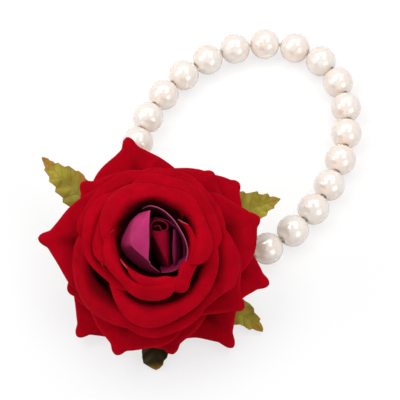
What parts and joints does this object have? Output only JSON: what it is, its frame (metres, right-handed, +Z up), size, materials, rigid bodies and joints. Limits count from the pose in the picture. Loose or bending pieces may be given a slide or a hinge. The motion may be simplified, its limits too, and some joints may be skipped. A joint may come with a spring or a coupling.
{
  "type": "wrist corsage",
  "caption": "Wrist corsage: a red velvet rose with a satin bud and green leaves, on a stretch bracelet of faux pearls.",
  "frame": {"origin": "on the table, under the middle of the box round the corsage as it lies", "axes": "+Z up off the table, +Y from the rose towards the far end of the pearl loop, +X to the right seen from the rose"},
  "size_m": [0.0804, 0.0982, 0.0377],
  "materials": {
    "pearl": "pearlescent lacquer",
    "elastic": "clear elastic",
    "velvet": "flocked velvet",
    "satin": "satin",
    "leaf": "waxed cotton",
    "felt": "pressed felt",
    "glue": "hot glue",
    "peg": "moulded",
    "core": "foam"
  },
  "bodies": {
    "root": {"pearl_01": "pearl", "pearl_23": "pearl", "elastic_cord": "elastic", "felt_backing": "felt", "glue_pad": "glue", "rose_peg": "peg", "velvet_layer_1": "velvet", "velvet_layer_2": "velvet", "velvet_layer_3": "velvet", "velvet_layer_4": "velvet", "velvet_layer_5": "velvet", "velvet_layer_6": "velvet", "bud_core": "core", "satin_petal_left": "satin", "satin_petal_right": "satin", "satin_petal_far": "satin", "satin_petal_near": "satin", "satin_petal_heart": "satin", "leaf_upper_left": "leaf", "leaf_upper_right": "leaf", "leaf_lower_right": "leaf", "leaf_bottom": "leaf"},
    "pearl_02": {"pearl_02": "pearl"},
    "pearl_03": {"pearl_03": "pearl"},
    "pearl_04": {"pearl_04": "pearl"},
    "pearl_05": {"pearl_05": "pearl"},
    "pearl_06": {"pearl_06": "pearl"},
    "pearl_07": {"pearl_07": "pearl"},
    "pearl_08": {"pearl_08": "pearl"},
    "pearl_09": {"pearl_09": "pearl"},
    "pearl_10": {"pearl_10": "pearl"},
    "pearl_11": {"pearl_11": "pearl"},
    "pearl_12": {"pearl_12": "pearl"},
    "pearl_13": {"pearl_13": "pearl"},
    "pearl_14": {"pearl_14": "pearl"},
    "pearl_15": {"pearl_15": "pearl"},
    "pearl_16": {"pearl_16": "pearl"},
    "pearl_17": {"pearl_17": "pearl"},
    "pearl_18": {"pearl_18": "pearl"},
    "pearl_19": {"pearl_19": "pearl"},
    "pearl_20": {"pearl_20": "pearl"},
    "pearl_21": {"pearl_21": "pearl"},
    "pearl_22": {"pearl_22": "pearl"}
  },
  "joints": [
    {"name": "pearl_02_spin", "type": "hinge", "parent": "root", "child": "pearl_02", "pos_m": [-0.00133, -0.02163, 0.00396], "axis": [0.9827, -0.1617, -0.09], "continuous": true},
    {"name": "pearl_03_spin", "type": "hinge", "parent": "root", "child": "pearl_03", "pos_m": [0.0069, -0.02118, 0.00395], "axis": [0.9734, 0.229, -0.0003], "continuous": true},
    {"name": "pearl_04_spin", "type": "hinge", "parent": "root", "child": "pearl_04", "pos_m": [0.01449, -0.01791, 0.00395], "axis": [0.8606, 0.5092, 0], "continuous": true},
    {"name": "pearl_05_spin", "type": "hinge", "parent": "root", "child": "pearl_05", "pos_m": [0.02103, -0.01282, 0.00395], "axis": [0.7264, 0.6872, 0], "continuous": true},
    {"name": "pearl_06_spin", "type": "hinge", "parent": "root", "child": "pearl_06", "pos_m": [0.02648, -0.00657, 0.00395], "axis": [0.5935, 0.8048, 0], "continuous": true},
    {"name": "pearl_07_spin", "type": "hinge", "parent": "root", "child": "pearl_07", "pos_m": [0.03084, 0.00048, 0.00395], "axis": [0.4597, 0.8881, 0], "continuous": true},
    {"name": "pearl_08_spin", "type": "hinge", "parent": "root", "child": "pearl_08", "pos_m": [0.03408, 0.00811, 0.00395], "axis": [0.315, 0.9491, 0], "continuous": true},
    {"name": "pearl_09_spin", "type": "hinge", "parent": "root", "child": "pearl_09", "pos_m": [0.03605, 0.01616, 0.00395], "axis": [0.1441, 0.9896, 0], "continuous": true},
    {"name": "pearl_10_spin", "type": "hinge", "parent": "root", "child": "pearl_10", "pos_m": [0.03646, 0.02444, 0.00395], "axis": [-0.075, 0.9972, 0], "continuous": true},
    {"name": "pearl_11_spin", "type": "hinge", "parent": "root", "child": "pearl_11", "pos_m": [0.03481, 0.03254, 0.00395], "axis": [-0.364, 0.9314, 0], "continuous": true},
    {"name": "pearl_12_spin", "type": "hinge", "parent": "root", "child": "pearl_12", "pos_m": [0.03053, 0.03959, 0.00395], "axis": [-0.693, 0.7209, 0], "continuous": true},
    {"name": "pearl_13_spin", "type": "hinge", "parent": "root", "child": "pearl_13", "pos_m": [0.02368, 0.04413, 0.00395], "axis": [-0.933, 0.3598, 0], "continuous": true},
    {"name": "pearl_14_spin", "type": "hinge", "parent": "root", "child": "pearl_14", "pos_m": [0.01552, 0.04538, 0.00395], "axis": [-0.9998, -0.0203, 0], "continuous": true},
    {"name": "pearl_15_spin", "type": "hinge", "parent": "root", "child": "pearl_15", "pos_m": [0.00741, 0.0438, 0.00395], "axis": [-0.9477, -0.3192, 0], "continuous": true},
    {"name": "pearl_16_spin", "type": "hinge", "parent": "root", "child": "pearl_16", "pos_m": [-0.00002, 0.04014, 0.00395], "axis": [-0.8427, -0.5384, 0], "continuous": true},
    {"name": "pearl_17_spin", "type": "hinge", "parent": "root", "child": "pearl_17", "pos_m": [-0.00647, 0.03494, 0.00395], "axis": [-0.7114, -0.7028, 0], "continuous": true},
    {"name": "pearl_18_spin", "type": "hinge", "parent": "root", "child": "pearl_18", "pos_m": [-0.01175, 0.02855, 0.00395], "axis": [-0.5613, -0.8276, 0], "continuous": true},
    {"name": "pearl_19_spin", "type": "hinge", "parent": "root", "child": "pearl_19", "pos_m": [-0.01573, 0.02128, 0.00395], "axis": [-0.3944, -0.919, 0], "continuous": true},
    {"name": "pearl_20_spin", "type": "hinge", "parent": "root", "child": "pearl_20", "pos_m": [-0.01826, 0.01339, 0.00395], "axis": [-0.2106, -0.9775, 0.0085], "continuous": true},
    {"name": "pearl_21_spin", "type": "hinge", "parent": "root", "child": "pearl_21", "pos_m": [-0.0192, 0.00516, 0.00409], "axis": [-0.0101, -0.9925, 0.1218], "continuous": true},
    {"name": "pearl_22_spin", "type": "hinge", "parent": "root", "child": "pearl_22", "pos_m": [-0.01843, -0.00286, 0.00595], "axis": [0.2124, -0.9568, 0.1986], "continuous": true}
  ]
}
